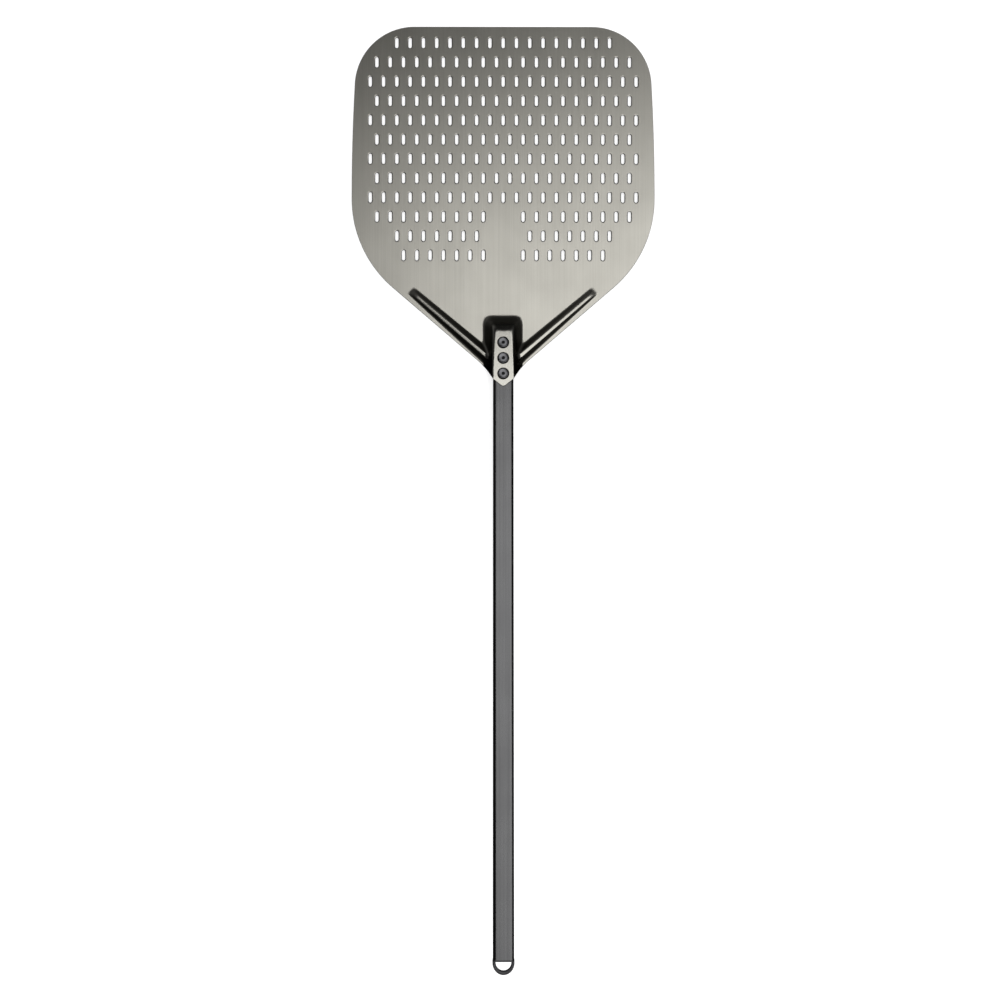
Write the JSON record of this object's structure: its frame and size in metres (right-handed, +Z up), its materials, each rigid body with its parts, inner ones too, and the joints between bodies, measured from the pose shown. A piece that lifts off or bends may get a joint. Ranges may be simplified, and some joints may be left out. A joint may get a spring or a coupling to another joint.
{
  "type": "pizza peel",
  "caption": "Pizza peel with a square perforated aluminium blade, riveted at a pressed boss and ribs to a flat-topped tube handle that ends in a hanging loop.",
  "frame": {"origin": "on the flat underside of the blade, at the middle of its 330 mm square head", "axes": "+Z up, square to the blade; +Y towards the blade's front edge, so the handle runs to -Y; +X to the right"},
  "size_m": [0.33, 1.0032, 0.0818],
  "materials": {
    "blade_anodised": "hard anodised, fine brushed satin, warm grey",
    "tube_anodised": "black anodised, satin with fine drawing lines along it",
    "rivet_anodised": "black anodised, satin",
    "mandrel_steel": "dull, broken steel end",
    "plug_nylon": "moulded black nylon, semi-matte"
  },
  "bodies": {
    "root": {"blade": "blade_anodised", "handle_tube": "tube_anodised", "rivet_front_body": "rivet_anodised", "rivet_front_mandrel": "mandrel_steel", "rivet_middle_body": "rivet_anodised", "rivet_middle_mandrel": "mandrel_steel", "rivet_rear_body": "rivet_anodised", "rivet_rear_mandrel": "mandrel_steel", "hanging_loop_plug": "plug_nylon"}
  },
  "joints": []
}
